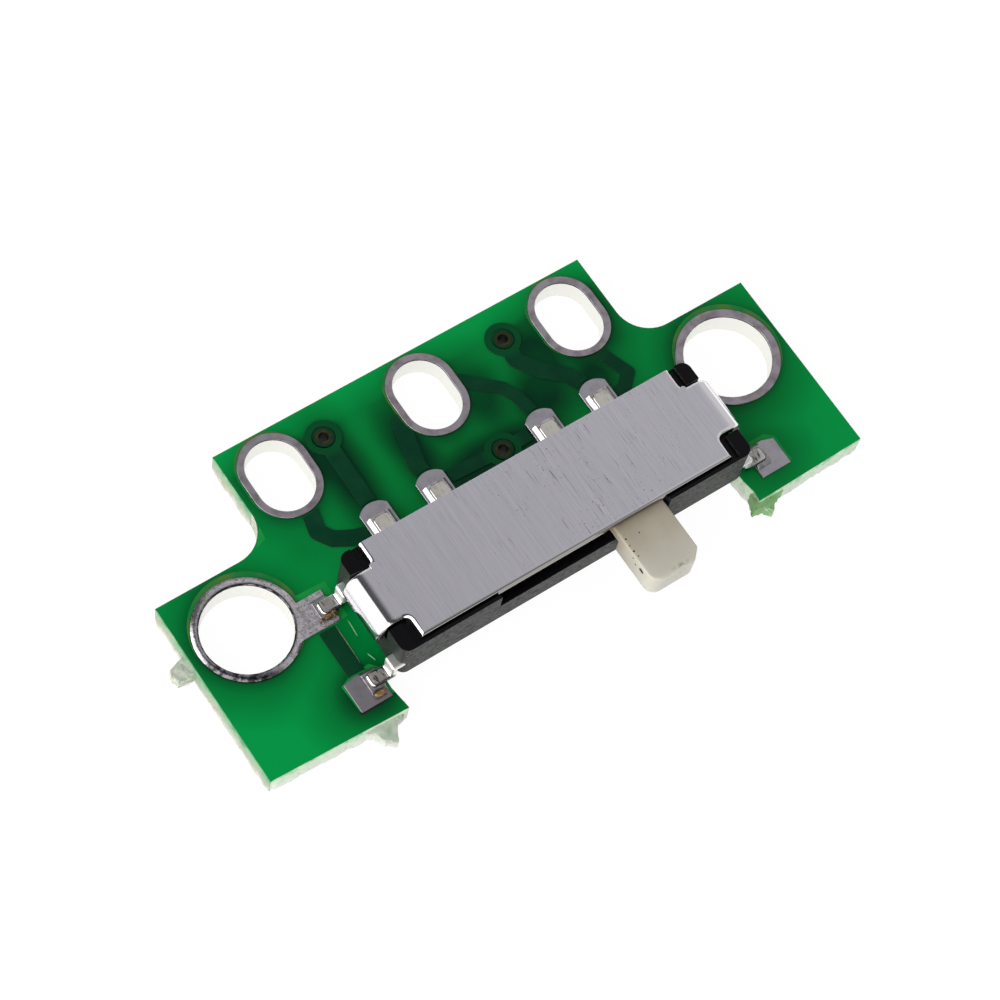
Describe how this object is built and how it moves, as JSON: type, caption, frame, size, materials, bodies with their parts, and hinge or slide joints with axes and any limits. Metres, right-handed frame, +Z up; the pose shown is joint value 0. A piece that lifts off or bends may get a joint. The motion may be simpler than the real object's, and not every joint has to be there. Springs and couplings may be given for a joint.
{
  "type": "slide switch board",
  "caption": "Small green circuit board with a low metal-covered slide switch, an ivory side knob, plated pin slots and plated post holes.",
  "frame": {"origin": "midway between the centres of the two round post holes, on the board's underside", "axes": "+X along the board's length, +Y towards the tab with the pin slots (the knob points to -Y), +Z up out of the switch side"},
  "size_m": [0.0165, 0.008, 0.002],
  "materials": {
    "green_laminate": "glass-fibre laminate under glossy green mask",
    "masked_copper": "copper under green mask",
    "tinned_copper": "tin plate",
    "bare_copper": "dull copper",
    "black_moulding": "black moulded plastic",
    "cover_sheet": "brushed sheet",
    "tinned_brass": "bright tin",
    "solder": "bright solder with flux",
    "ivory_nylon": "translucent ivory",
    "contact_bronze": "plain",
    "spring_steel": "plain"
  },
  "bodies": {
    "board": {"circuit_board": "green_laminate", "left_post_ring": "tinned_copper", "right_post_ring": "tinned_copper", "pin_slot_left": "tinned_copper", "pin_slot_middle": "tinned_copper", "pin_slot_right": "tinned_copper", "via_left": "bare_copper", "via_middle": "bare_copper", "via_right": "bare_copper", "terminal_pad_1": "tinned_copper", "terminal_pad_2": "tinned_copper", "terminal_pad_3": "tinned_copper", "terminal_pad_4": "tinned_copper", "leg_pad_front_left": "tinned_copper", "leg_pad_front_right": "tinned_copper", "copper_traces": "masked_copper", "switch_base": "black_moulding", "switch_cover": "cover_sheet", "terminal_1": "tinned_brass", "terminal_2": "tinned_brass", "terminal_3": "tinned_brass", "terminal_4": "tinned_brass", "leg_front_left": "tinned_brass", "leg_front_right": "tinned_brass", "leg_back_left": "tinned_brass", "leg_back_right": "tinned_brass", "solder_terminal_1": "solder", "solder_terminal_2": "solder", "solder_terminal_3": "solder", "solder_terminal_4": "solder", "solder_front_left": "solder", "solder_front_right": "solder", "solder_back_left": "solder", "solder_back_right": "solder"},
    "slider": {"slider": "ivory_nylon", "contact_wiper": "contact_bronze", "detent_leaf": "spring_steel"}
  },
  "joints": [
    {"name": "slider_slide", "type": "slide", "parent": "board", "child": "slider", "axis": [1, 0, 0], "range_m": [-0.003, 0]}
  ]
}
